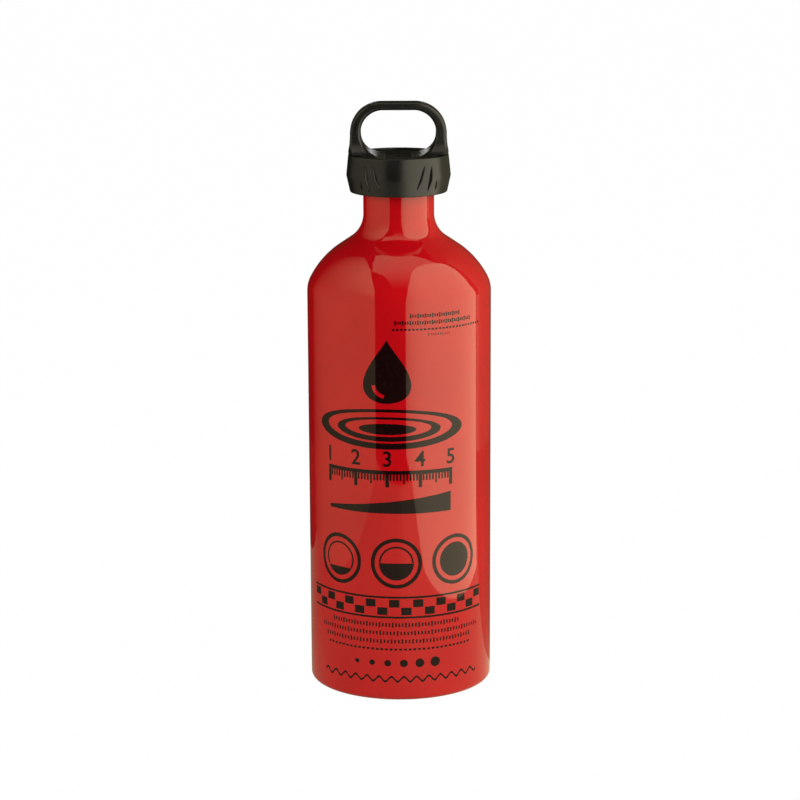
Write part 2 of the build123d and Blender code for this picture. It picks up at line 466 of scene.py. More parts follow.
class Blank:
    """Vertices and faces of one piece in millimetres, gathered before its mesh is made."""

    def __init__(self, weld: float | None = 1e-7) -> None:
        """Starts with nothing; points nearer than `weld`, in metres, will be made one.

        Args:
            weld: that distance, or None to keep every point.
        """
        self.weld = weld
        self.points: list[np.ndarray] = []
        self.faces: list[tuple[int, ...]] = []
        self.finishes: list[int] = []
        self.count = 0

    def add_points(self, points: np.ndarray) -> int:
        """Adds points and returns the number of the first.

        Args:
            points: points in millimetres, in any arrangement.

        Returns:
            The number of the first.
        """
        start = self.count
        flat = np.asarray(points, float).reshape(-1, 3)
        self.points.append(flat)
        self.count += len(flat)
        return start

    def sheet(self, rows: np.ndarray, loop: bool = False, finish: Sequence[int] | int = 0) -> None:
        """Adds a sheet of quads whose last column joins the first.

        Args:
            rows: points as an array of rows, columns and three coordinates.
            loop: whether the last row joins the first too.
            finish: finish number of every band between rows, or one for all.
        """
        count, columns = rows.shape[:2]
        start = self.add_points(rows)
        for i in range(count if loop else count - 1):
            below, above = start + i * columns, start + ((i + 1) % count) * columns
            number = finish if isinstance(finish, int) else finish[i]
            for j in range(columns):
                k = (j + 1) % columns
                self.faces.append((below + j, below + k, above + k, above + j))
                self.finishes.append(number)

    def fan(
        self, ring: np.ndarray, centre: Sequence[float] | None = None, finish: int = 0, flip: bool = False
    ) -> None:
        """Closes a ring of points with triangles.

        Args:
            ring: points of the ring.
            centre: where the triangles meet; the middle of the ring where it is left out.
            finish: finish number of the triangles.
            flip: whether they face the other way.
        """
        start = self.add_points(ring)
        middle = self.add_points(ring.mean(0) if centre is None else np.array(centre))
        for j in range(len(ring)):
            k = (j + 1) % len(ring)
            edge = (start + k, start + j) if flip else (start + j, start + k)
            self.faces.append((*edge, middle))
            self.finishes.append(finish)

    def solid(self, work: bmesh.types.BMesh) -> None:
        """Adds an edited solid, whose faces are put in an order that is the same in every run.

        Args:
            work: the solid in millimetres, which stays the caller's.
        """
        bmesh.ops.recalc_face_normals(work, faces=work.faces)
        work.verts.index_update()
        start = self.add_points(np.array([vert.co for vert in work.verts]))
        rows = []
        for face in work.faces:
            row = [start + vert.index for vert in face.verts]
            lowest = row.index(min(row))
            rows.append((*row[lowest:], *row[:lowest]))
        self.faces.extend(sorted(rows))
        self.finishes.extend([0] * len(rows))

    def bar(self, rows: np.ndarray, finish: int = 0) -> None:
        """Adds a closed bar: a sheet with a fan at each end.

        Args:
            rows: sections of the bar.
            finish: finish number of the whole bar.
        """
        self.sheet(rows, finish=finish)
        self.fan(rows[0], finish=finish)
        self.fan(rows[-1], finish=finish, flip=True)

    def piece(
        self, name: str, finishes: Sequence[Finish], body: str, sharp: float = 40.0
    ) -> bpy.types.Object:
        """Makes the piece from what was gathered.

        Args:
            name: name of the piece.
            finishes: finishes by number.
            body: CAD body that carries the piece.
            sharp: angle in degrees above which an edge stays crisp.

        Returns:
            The new object.
        """
        mesh = bpy.data.meshes.new(name)
        mesh.from_pydata(np.concatenate(self.points) * MM, [], self.faces)
        mesh.polygons.foreach_set("material_index", self.finishes)
        for finish in finishes:
            mesh.materials.append(finish.material())
        work = bmesh.new()
        work.from_mesh(mesh)
        if self.weld is not None:
            bmesh.ops.remove_doubles(work, verts=work.verts, dist=self.weld)
        bmesh.ops.recalc_face_normals(work, faces=work.faces)
        work.to_mesh(mesh)
        work.free()
        mesh.shade_smooth()
        mesh.set_sharp_from_angle(angle=math.radians(sharp))
        mesh.update()
        obj = placed(name, mesh)
        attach(obj, body)
        log.info("%s: %d faces on body %s", name, len(mesh.polygons), body)
        return obj


def group(name: str) -> bpy.types.Collection:
    """The group of pieces with that name, made at its first use."""
    return bpy.data.collections.get(name) or bpy.data.collections.new(name)


def placed(name: str, data: bpy.types.ID) -> bpy.types.Object:
    """An object of that name in the scene, with that mesh, lamp or camera.

    Args:
        name: name of the object.
        data: what it shows or shines with.

    Returns:
        The object.
    """
    obj = bpy.data.objects.new(name, data)
    bpy.context.scene.collection.objects.link(obj)
    return obj


def turned(outline: np.ndarray, angles: np.ndarray) -> np.ndarray:
    """Points of a half section turned round the axis.

    Args:
        outline: radius and height of each point.
        angles: angles in radians, from the front towards the right.

    Returns:
        Array of rows, columns and three coordinates.
    """
    rows = np.empty((len(outline), len(angles), 3))
    rows[:, :, 0] = outline[:, :1] * np.sin(angles)
    rows[:, :, 1] = -outline[:, :1] * np.cos(angles)
    rows[:, :, 2] = outline[:, 1:]
    return rows


def full_turn(count: int) -> np.ndarray:
    """Evenly spaced angles over one turn."""
    return np.linspace(0, 2 * math.pi, count, endpoint=False)


def arc(centre: Sequence[float], radius: float, start: float, end: float, step: float = 3.0) -> np.ndarray:
    """Points of an arc in the half section.

    Args:
        centre: centre of the arc.
        radius: radius of the arc.
        start: first angle in degrees, 0 pointing away from the axis and 90 up.
        end: last angle in degrees.
        step: largest angle between points, in degrees.

    Returns:
        Points from start to end.
    """
    turn = np.radians(np.linspace(start, end, max(2, int(abs(end - start) / step) + 2)))
    return np.stack([centre[0] + radius * np.cos(turn), centre[1] + radius * np.sin(turn)], 1)


def rounded(corners: Sequence[Corner], closed: bool = False, steps: int = 6) -> np.ndarray:
    """A run of straight lines with rounded corners.

    Args:
        corners: two coordinates and a radius for each corner.
        closed: whether the last corner joins the first.
        steps: points on each rounding.

    Returns:
        Points along the run.
    """
    out: list[np.ndarray] = []
    count = len(corners)
    for index, (x, y, radius) in enumerate(corners):
        here = np.array([x, y])
        if radius <= 0 or (not closed and index in (0, count - 1)):
            out.append(here)
            continue
        before = np.array(corners[index - 1][:2]) - here
        after = np.array(corners[(index + 1) % count][:2]) - here
        before, after = before / np.linalg.norm(before), after / np.linalg.norm(after)
        half = math.acos(float(np.clip(before @ after, -1, 1))) / 2
        swing = math.pi - 2 * half
        if swing < 2e-4:
            out.append(here)
            continue
        reach = radius / math.tan(half)
        bisector = (before + after) / np.linalg.norm(before + after)
        centre = here + bisector * radius / math.sin(half)
        first, last = here + before * reach - centre, here + after * reach - centre
        for share in np.linspace(0, 1, steps):
            weight = np.array([math.sin((1 - share) * swing), math.sin(share * swing)]) / math.sin(swing)
            out.append(centre + weight[0] * first + weight[1] * last)
    return np.array(out)


def refined(outline: np.ndarray, longest: float) -> np.ndarray:
    """The same run with points added so that no span is longer than that.

    Args:
        outline: points of the run.
        longest: that length in millimetres.

    Returns:
        The points with those added.
    """
    out = [outline[0]]
    for before, after in zip(outline[:-1], outline[1:]):
        parts = max(1, math.ceil(float(np.linalg.norm(after - before)) / longest))
        out.extend(before + (after - before) * k / parts for k in range(1, parts + 1))
    return np.array(out)


# Bottle


class ThreadSide(Enum):
    """Which way a thread's ridge stands."""

    INTO_BORE = -1
    OUT_OF_STEM = 1


@dataclass
class Thread:
    """Helical ridge with rounded flanks that runs out at both ends."""

    side: ThreadSide
    root_radius: float
    crest_radius: float
    start_height: float
    turns: float
    shift: float = 0.0
    pitch: float = 3.5
    root_width: float = 1.75
    crest_width: float = 0.7
    root_round: float = 0.1
    crest_round: float = 0.22
    buried: float = 0.12
    sunk_ends: float = 0.1
    steps_per_turn: int = 120
    run_out: float = 0.16

    def add_to(self, blank: Blank, finish: int = 0) -> None:
        """Adds the ridge to a blank as a closed bar.

        Args:
            blank: the piece being made.
            finish: finish number of the ridge.
        """
        depth = abs(self.crest_radius - self.root_radius)
        root, crest = self.root_width / 2, self.crest_width / 2
        lower = [(-self.buried, -root - self.buried, 0), (0.0, -root, self.root_round)]
        lower.append((depth, -crest, self.crest_round))
        section = rounded(lower + [(x, -y, bend) for x, y, bend in lower[::-1]], steps=4)
        count = int(self.turns * self.steps_per_turn) + 1
        travel = np.linspace(0, self.turns, count)
        ends = np.clip(np.minimum(travel, self.turns - travel) / self.run_out, 0, 1)
        swell = ends * ends * (3 - 2 * ends)
        rows = np.empty((count, len(section), 3))
        for index, (turn, share) in enumerate(zip(travel, swell)):
            angle = 2 * math.pi * (turn + self.shift)
            sunk = section[:, 0] * share - self.sunk_ends * (1 - share)
            lift = np.where(section[:, 0] > 0, sunk, section[:, 0])
            radius = self.root_radius + self.side.value * lift
            rows[index, :, 0] = radius * math.sin(angle)
            rows[index, :, 1] = -radius * math.cos(angle)
            rows[index, :, 2] = self.start_height + turn * self.pitch + section[:, 1]
        blank.bar(rows, finish)


@dataclass
class BottleShell:
    """Impact-extruded bottle: enamelled outside, bare inside, with a thread in the neck."""

    barrel_radius: float = 36.5
    wall: float = 0.9
    base_thickness: float = 1.6
    base_edge_radius: float = 2.0
    standing_ring_inner: float = 26.0
    dome_rise: float = 4.0
    barrel_height: float = 159.3
    corner_radius: float = 11.6
    corner_angle: float = 27.4
    crown_radius: float = 34.7
    shoulder_angle: float = 56.0
    flare_radius: float = 11.2
    neck_radius: float = 14.0
    bore_radius: float = 11.4
    lip_height: float = 202.999
    lip_round: float = 0.7
    lip_inner_round: float = 0.2
    lip_bevel: Point = (0.35, 0.6)
    bare_from: float = 2.0
    inner_base_round: float = 3.0
    side_ends: float = 2.0
    thread_crest: float = 10.25
    thread_start: float = 190.3
    thread_turns: float = 2.75
    segments: int = 384

    def shoulder(self, side: float, neck: float, inset: float) -> np.ndarray:
        """Points of one face of the shoulder, from the barrel up to the neck.

        Args:
            side: radius of that face in the barrel.
            neck: radius of that face in the neck.
            inset: distance of that face inside the outer one.

        Returns:
            Points of the half section.
        """
        corner_radius, crown_radius = self.corner_radius - inset, self.crown_radius - inset
        flare = self.flare_radius + inset
        centre = np.array([side - corner_radius, self.barrel_height])
        corner = arc(centre, corner_radius, 0, self.corner_angle, 1.5)
        turn = math.radians(self.corner_angle)
        centre = corner[-1] - crown_radius * np.array([math.cos(turn), math.sin(turn)])
        crown = arc(centre, crown_radius, self.corner_angle, self.shoulder_angle, 0.9)
        lean = math.radians(self.shoulder_angle)
        length = (crown[-1][0] - neck - flare * (1 - math.cos(lean))) / math.sin(lean)
        top = crown[-1] + length * np.array([-math.sin(lean), math.cos(lean)])
        straight = np.linspace(crown[-1], top, 6)[1:]
        centre = top + flare * np.array([math.cos(lean), math.sin(lean)])
        sweep = arc(centre, flare, 180 + self.shoulder_angle, 180, 1.8)
        return np.concatenate([corner, crown[1:], straight, sweep[1:]])

    def dome(self, lift: float) -> np.ndarray:
        """Points of the domed base from next to the axis out to the standing ring.

        Args:
            lift: how far the points are raised, in millimetres.

        Returns:
            The points.
        """
        radius = (self.dome_rise**2 + self.standing_ring_inner**2) / (2 * self.dome_rise)
        reach = np.linspace(0.5, self.standing_ring_inner, 18)
        rise = np.sqrt(radius**2 - reach**2) - (radius - self.dome_rise)
        return np.stack([reach, rise + lift], 1)

    def outline(self) -> tuple[np.ndarray, list[int]]:
        """Half section from the middle of the base, up the outside and down the inside.

        Returns:
            The points, and the finish number of each span.
        """
        radius, bend, bore = self.barrel_radius, self.base_edge_radius, self.bore_radius
        edge = arc((radius - bend, bend), bend, -90, 0, 7)
        side = np.linspace((radius, bend + self.side_ends), (radius, self.barrel_height - self.side_ends), 40)
        outer_shoulder = self.shoulder(radius, self.neck_radius, 0.0)
        lip = rounded(
            [
                (*outer_shoulder[-1], 0),
                (self.neck_radius, self.lip_height, self.lip_round),
                (bore + self.lip_bevel[0], self.lip_height, self.lip_inner_round),
                (bore, self.lip_height - self.lip_bevel[1], self.lip_inner_round),
                (bore, self.lip_height - self.bare_from, 0),
            ]
        )
        painted = np.concatenate([self.dome(0.0), edge, side, outer_shoulder, lip[1:4]])
        inner, bend = radius - self.wall, self.inner_base_round
        inner_shoulder = self.shoulder(inner, bore, self.wall)[::-1]
        blend = arc((inner - bend, self.base_thickness + bend), bend, 0, -90, 9)
        bare = np.concatenate([lip[4:], inner_shoulder, blend, self.dome(self.base_thickness)[::-1]])
        return np.concatenate([painted, bare]), [0] * (len(painted) - 1) + [1] * len(bare)

    def build(self) -> None:
        """Makes the shell with its neck thread."""
        points, finishes = self.outline()
        blank = Blank()
        rows = turned(points, full_turn(self.segments))
        blank.sheet(rows, finish=finishes)
        blank.fan(rows[0], (0, 0, self.dome_rise), 0, flip=True)
        blank.fan(rows[-1], (0, 0, self.base_thickness + self.dome_rise), 1)
        thread = (self.bore_radius, self.thread_crest, self.thread_start, self.thread_turns)
        Thread(ThreadSide.INTO_BORE, *thread).add_to(blank, 1)
        shell = blank.piece("bottle_shell", (ENAMEL, ALUMINIUM), "bottle")
        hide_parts("bottle")


# Print on the barrel


class FillLevel(Enum):
    """How full a level sign is drawn."""

    LOW = 0.25
    HALF = 0.5
    FULL = 1.0


@dataclass(frozen=True)
class Ticks:
    """Evenly spaced upright marks in a row; every so many of them are taller."""

    first: float
    last: float
    count: int
    v: float
    width: float
    height: float
    tall: float | None = None
    every: int = 1

    def marks(self) -> list[tuple[float, float, float, float]]:
        """Middle, width and height of each mark.

        Returns:
            One row of numbers for each mark.
        """
        tall = self.tall or self.height
        heights = [self.height if index % self.every else tall for index in range(self.count)]
        places = np.linspace(self.first, self.last, self.count)
        return [(u, self.v, self.width, height) for u, height in zip(places, heights)]


def oval(u: float, v: float, across: float, up: float, angles: Sequence[float]) -> list[Point]:
    """Points of an ellipse by its middle and half sizes, at those angles in radians."""
    return [(u + across * math.cos(t), v + up * math.sin(t)) for t in angles]


class Stencil:
    """Flat artwork in millimetres, laid round the barrel as a thin film of ink."""

    figure_share = 0.7
    figure_weight = 0.018
    proud = 0.03
    sunk = 0.04
    strip = 1.0
    first_cut = 0.37
    sharp = 30.0

    def __init__(self, name: str) -> None:
        """Starts an empty stencil.

        Args:
            name: name of the piece that it becomes.
        """
        self.name = name
        self.curve = bpy.data.curves.new(name, "CURVE")
        self.curve.dimensions = "2D"
        self.curve.fill_mode = "FRONT"
        self.figure_meshes: list[bpy.types.Mesh] = []

    def shape(self, points: Sequence[Point]) -> None:
        """Adds a closed outline; one inside another cuts a hole.

        Args:
            points: corners of the outline in order.
        """
        spline = self.curve.splines.new("POLY")
        spline.points.add(len(points) - 1)
        for place, (u, v) in zip(spline.points, points):
            place.co = (u, v, 0.0, 1.0)
        spline.use_cyclic_u = True

    def box(self, u: float, v: float, width: float, height: float) -> None:
        """Adds a rectangle by its middle and size."""
        a, b = width / 2, height / 2
        self.shape([(u - a, v - b), (u + a, v - b), (u + a, v + b), (u - a, v + b)])

    def ellipse(self, u: float, v: float, across: float, up: float, count: int = 96) -> None:
        """Adds an ellipse by its middle and half sizes."""
        self.shape(oval(u, v, across, up, full_turn(count)))

    def ticks(self, rows: Sequence[Ticks]) -> None:
        """Adds rows of marks.

        Args:
            rows: the rows.
        """
        for row in rows:
            for mark in row.marks():
                self.box(*mark)

    def figures(self, text: str, u: float, v: float, height: float) -> None:
        """Adds plain figures of that height centred on a place.

        Args:
            text: the figures.
            u: place round the barrel.
            v: height of their middle.
            height: their own height.
        """
        font = bpy.data.curves.new(self.name + "_figures", "FONT")
        font.body = text
        font.size = height / self.figure_share
        font.align_x = "CENTER"
        font.align_y = "CENTER"
        font.offset = height * self.figure_weight
        carrier = bpy.data.objects.new(font.name, font)
        mesh = bpy.data.meshes.new_from_object(carrier)
        mesh.transform(Matrix.Translation((u, v, 0.0)))
        self.figure_meshes.append(mesh)
        bpy.data.objects.remove(carrier)

    def lay(self, radius: float) -> None:
        """Cuts the artwork into narrow strips, thickens it and wraps it round a barrel of that radius.

        Args:
            radius: outer radius of the barrel.
        """
        carrier = bpy.data.objects.new(self.name, self.curve)
        work = bmesh.new()
        for mesh in [bpy.data.meshes.new_from_object(carrier), *self.figure_meshes]:
            work.from_mesh(mesh)
        bpy.data.objects.remove(carrier)
        reach = [vert.co.x for vert in work.verts]
        for cut in np.arange(math.floor(min(reach)) + self.first_cut, max(reach), self.strip):
            everything = [*work.verts, *work.edges, *work.faces]
            bmesh.ops.bisect_plane(work, geom=everything, dist=1e-5, plane_co=(cut, 0, 0), plane_no=(1, 0, 0))
        lifted = bmesh.ops.extrude_face_region(work, geom=work.faces[:], use_keep_orig=True)
        raised = {item for item in lifted["geom"] if isinstance(item, bmesh.types.BMVert)}
        for vert in work.verts:
            distance = radius + (self.proud if vert in raised else -self.sunk)
            turn = vert.co.x / radius
            vert.co = (distance * math.sin(turn), -distance * math.cos(turn), vert.co.y)
        blank = Blank(weld=None)
        blank.solid(work)
        work.free()
        blank.piece(self.name, (INK,), "bottle", self.sharp)


@dataclass
class BarrelPrint:
    """Black screen print on the front of the barrel; u runs round it from the front, v upwards."""

    radius: float = 36.5
    middle: float = -5.0
    fill_rows: tuple[Ticks, ...] = (
        Ticks(-2.3, 36.45, 26, 149.95, 0.95, 0.75),
        Ticks(-1.6, 30.74, 34, 152.6, 0.58, 1.2, 1.8, 3),
        Ticks(4.4, 24.98, 22, 155.3, 0.58, 1.2, 1.8, 3),
        Ticks(11.6, 20.42, 10, 147.8, 0.3, 0.9),
    )
    drop_middle: float = 133.4
    drop_half_height: float = 12.6
    drop_swell: float = 13.6
    glint_below: float = 5.292
    glint_outer: Point = (6.0, 5.4)
    glint_inner: Point = (4.5, 4.0)
    glint_turn: Point = (182.0, 258.0)
    ripples_middle: float = 110.6
    ripples: tuple[Corner, ...] = ((31.5, 8.0, 3.6), (21.5, 4.9, 2.9), (11.5, 2.2, 3.0))
    ripple_hole: Corner = (1.35, 0.5, 0.16)
    scale_width: float = 52.0
    scale_ticks: int = 41
    scale_bottom: float = 92.6
    scale_bar: Point = (1.4, 1.5)
    tick_overlap: float = 0.02
    tick_heights: Corner = (5.2, 3.8, 2.5)
    tick_widths: Point = (1.4, 0.7)
    figures_middle: float = 98.4
    figures_height: float = 6.0
    wedge: tuple[float, float, float] = (76.8, 78.2, 84.6)
    level_places: tuple[float, float, float] = (-26.2, -1.6, 23.0)
    level_middle: float = 56.6
    level_rim: float = 10.2
    level_rim_width: float = 1.5
    level_disc: float = 6.9
    level_line: float = 0.7
    level_gap: float = 0.02
    bar_ends: tuple[float, float] = (-43.0, 38.0)
    bar_fields: int = 17
    bar_gap: float = 0.7
    bar_rows: Point = (40.2, 37.0)
    bar_height: float = 3.1
    rules: Point = (42.7, 34.5)
    rule_height: float = 0.8
    base_rows: tuple[Ticks, ...] = (
        Ticks(-29.5, 24.5, 42, 31.4, 0.62, 1.5, 2.1, 4),
        Ticks(-36.0, 35.0, 52, 28.0, 0.62, 1.4, 2.0, 5),
        Ticks(-33.5, 30.5, 46, 24.6, 0.62, 1.4, 1.9, 3),
        Ticks(-32.0, 30.0, 34, 21.3, 1.15, 0.8),
    )
    dots: tuple[int, float, float] = (6, 0.9, 0.22)
    dots_middle: Point = (-2.0, 15.6)
    dots_pitch: float = 6.4
    wave_middle: float = 9.0
    wave_reach: float = 35.0
    wave_length: float = 5.0
    wave_half_width: float = 0.45

    def fill_line(self, art: Stencil) -> None:
        """Row of short dashes that marks how far the bottle is filled, among rows of finer ticks."""
        art.ticks(self.fill_rows)

    def drop_sign(self, art: Stencil) -> None:
        """Falling drop over widening ripples.

        Args:
            art: stencil that the sign is drawn on.
        """
        drop = []
        for t in full_turn(120):
            width = self.drop_swell * math.sin(t) * math.sin(t / 2) ** 1.5
            drop.append((self.middle + width, self.drop_middle + self.drop_half_height * math.cos(t)))
        art.shape(drop)
        glint = self.middle, self.drop_middle - self.glint_below
        angles = np.radians(np.linspace(*self.glint_turn, 24))
        art.shape(oval(*glint, *self.glint_outer, angles) + oval(*glint, *self.glint_inner, angles[::-1]))
        narrower, lower, lifted = self.ripple_hole
        for across, up, stroke in self.ripples:
            art.ellipse(self.middle, self.ripples_middle, across, up)
            if up > stroke:
                hole = across - stroke * narrower, up - stroke * lower
                art.ellipse(self.middle, self.ripples_middle + stroke * lifted, *hole)

    def scale(self, art: Stencil) -> None:
        """Numbered scale with ticks under a bar, over a wedge that fills from left to right.

        Args:
            art: stencil that the sign is drawn on.
        """
        left = self.middle - self.scale_width / 2
        longer, bar_height = self.scale_bar
        art.box(self.middle, self.scale_bottom + bar_height / 2, self.scale_width + longer, bar_height)
        for index in range(self.scale_ticks):
            rank = 0 if index % 10 == 0 else 1 if index % 5 == 0 else 2
            height, width = self.tick_heights[rank], self.tick_widths[min(rank, 1)]
            u = left + self.scale_width * index / (self.scale_ticks - 1)
            art.box(u, self.scale_bottom - self.tick_overlap - height / 2, width, height)
            if rank == 0:
                art.figures(str(index // 10 + 1), u, self.figures_middle, self.figures_height)
        low, thin, thick = self.wedge
        right = left + self.scale_width
        art.shape([(left, low), (right, low), (right, thick), (left, thin)])

    def level_sign(self, art: Stencil, u: float, level: FillLevel) -> None:
        """Round sign whose inner disc is filled up to a level.

        Args:
            art: stencil that takes the sign.
            u: place round the barrel.
            level: how full the disc is.
        """
        v, disc = self.level_middle, self.level_disc
        for rim in (self.level_rim, self.level_rim - self.level_rim_width):
            art.ellipse(u, v, rim, rim)
        if level is FillLevel.FULL:
            art.ellipse(u, v, disc, disc)
            return
        bottom, gap, half = -math.pi / 2, self.level_gap, math.acos(1 - 2 * level.value)
        art.shape(oval(u, v, disc, disc, np.linspace(bottom - half, bottom + half, 60)))
        angles = np.linspace(bottom + half + gap, bottom + 2 * math.pi - half - gap, 60)
        inside = disc - self.level_line
        art.shape(oval(u, v, disc, disc, angles) + oval(u, v, inside, inside, angles[::-1]))

    def measuring_bar(self, art: Stencil) -> None:
        """Bar of alternating filled and open fields between two rules.

        Args:
            art: stencil that the sign is drawn on.
        """
        left, right = self.bar_ends
        pitch = (right - left) / self.bar_fields
        for index in range(self.bar_fields):
            u, v = left + pitch * (index + 0.5), self.bar_rows[index % 2]
            art.box(u, v, pitch - self.bar_gap, self.bar_height)
        for v in self.rules:
            art.box((left + right) / 2, v, right - left, self.rule_height)

    def fine_rules(self, art: Stencil) -> None:
        """Thin rules of dashes, growing dots and a wave near the base.

        Args:
            art: stencil that the sign is drawn on.
        """
        art.ticks(self.base_rows)
        (count, first, growth), (u, v) = self.dots, self.dots_middle
        for index in range(count):
            size = first + growth * index
            art.ellipse(u + self.dots_pitch * (index - (count - 1) / 2), v, size, size, 40)
        reach = np.linspace(-self.wave_reach, self.wave_reach, 300)
        wave = self.wave_middle + np.sin(2 * math.pi * reach / self.wave_length)
        upper = np.stack([reach, wave + self.wave_half_width], 1)
        lower = np.stack([reach, wave - self.wave_half_width], 1)
        art.shape(np.concatenate([upper, lower[::-1]]))

    def lay(self, name: str, draw: Callable[..., None], *details: Any) -> None:
        """Draws one sign and lays it on the barrel.

        Args:
            name: name of the piece.
            draw: method that draws the sign.
            details: what the method needs beside the stencil.
        """
        art = Stencil(name)
        draw(art, *details)
        art.lay(self.radius)

    def build(self) -> None:
        """Makes every film of ink."""
        self.lay("print_fill_line", self.fill_line)
        self.lay("print_drop_sign", self.drop_sign)
        self.lay("print_scale", self.scale)
        for level, u in zip(FillLevel, self.level_places):
            self.lay(f"print_level_{level.name.lower()}", self.level_sign, u, level)
        self.lay("print_measuring_bar", self.measuring_bar)
        self.lay("print_fine_rules", self.fine_rules)


# Cap


@dataclass(frozen=True)
class GripCut:
    """One slanted cut of the skirt, mirrored into four places."""

    angle: float
    slant: float
    length: float
    width: float
    depth: float
    height: float
    soft: float = 0.07
    soft_share: float = 0.6
    end: float = -0.6
    least: float = 0.0012

    def depth_at(self, angles: np.ndarray, heights: np.ndarray, radius: np.ndarray) -> np.ndarray:
        """Depth of the four cuts over the skirt.

        Args:
            angles: angles of the columns, in radians.
            heights: heights of the rows.
            radius: radius of the rows.

        Returns:
            Depths as an array of rows and columns.
        """
        wheel = (self.length**2 / 4 + self.depth**2) / (2 * self.depth)
        slope = 2 * self.depth / self.width
        total = np.zeros((len(heights), len(angles)))
        rise = (heights - self.height)[:, None]
        for side, start in ((1, 0), (-1, 0), (-1, 180), (1, 180)):
            middle, lean = math.radians(start + side * self.angle), math.radians(side * self.slant)
            offset = (angles - middle + math.pi) % (2 * math.pi) - math.pi
            round_the_skirt = offset[None, :] * radius[:, None]
            along = round_the_skirt * math.sin(lean) + rise * math.cos(lean)
            across = round_the_skirt * math.cos(lean) - rise * math.sin(lean)
            floor = self.depth - along**2 / (2 * wheel)
            raw = floor - slope * (np.sqrt(across**2 + self.soft**2) - self.soft * self.soft_share)
            eased = (raw + np.sqrt(raw**2 + self.soft**2)) / 2 - self.least
            total += np.where(raw > self.end, eased, 0.0).clip(0)
        return total


@dataclass
class GripRing:
    """Skirt of the cap, with slanted cuts for the fingers and a rim round the disc."""

    skirt_hole: float = 14.6
    cavity_radius: float = 17.3
    bottom: Corner = (19.15, 198.75, 0.4)
    waist: Corner = (20.6, 205.35, 1.5)
    top: Corner = (19.75, 213.6, 0.5)
    rim_middle: float = 18.2
    groove_height: float = 211.85
    groove_half: float = 0.45
    groove_depth: float = 0.4
    catch_top: float = 203.5
    cut_from: Corner = (18.6, 0.2, 0.4)
    column_step: float = 0.4
    longest_span: float = 0.2
    cuts: tuple[GripCut, ...] = (
        GripCut(25.8, 20.0, 11.4, 1.0, 0.75, 206.3),
        GripCut(37.6, 10.0, 11.0, 1.5, 0.95, 205.6),
        GripCut(47.2, 0.0, 4.2, 1.2, 0.75, 202.7),
    )

    def build(self) -> None:
        """Makes the skirt."""
        low, high = self.bottom[1], self.top[1]
        foot, rim = (self.skirt_hole + 0.3, low, 0), (self.rim_middle, high, 0)
        outer = refined(rounded([foot, self.bottom, self.waist, self.top, rim], steps=9), self.longest_span)
        inner = rounded(
            [
                rim,
                (self.cavity_radius, high, 0.3),
                (self.cavity_radius, self.groove_height + self.groove_half, 0),
                (self.cavity_radius + self.groove_depth, self.groove_height, 0),
                (self.cavity_radius, self.groove_height - self.groove_half, 0),
                (self.cavity_radius, self.catch_top, 0),
                (self.skirt_hole, self.catch_top, 0.2),
                (self.skirt_hole, low, 0.3),
                foot,
            ],
            steps=5,
        )
        angles = np.radians(np.arange(0.0, 360.0, self.column_step))
        rows = turned(outer, angles)
        reach, over_bottom, under_top = self.cut_from
        side = (outer[:, 0] > reach) & (outer[:, 1] > low + over_bottom) & (outer[:, 1] < high - under_top)
        depth = sum(cut.depth_at(angles, outer[:, 1], outer[:, 0]) for cut in self.cuts)
        depth[~side] = 0.0
        rows[:, :, :2] *= (1 - depth / outer[:, :1])[:, :, None]
        blank = Blank()
        blank.sheet(np.concatenate([rows, turned(inner[1:-1], angles)]), loop=True)
        ring = blank.piece("grip_ring_skirt", (CAP_PLASTIC,), "cap", 50.0)
        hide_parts("grip_ring")


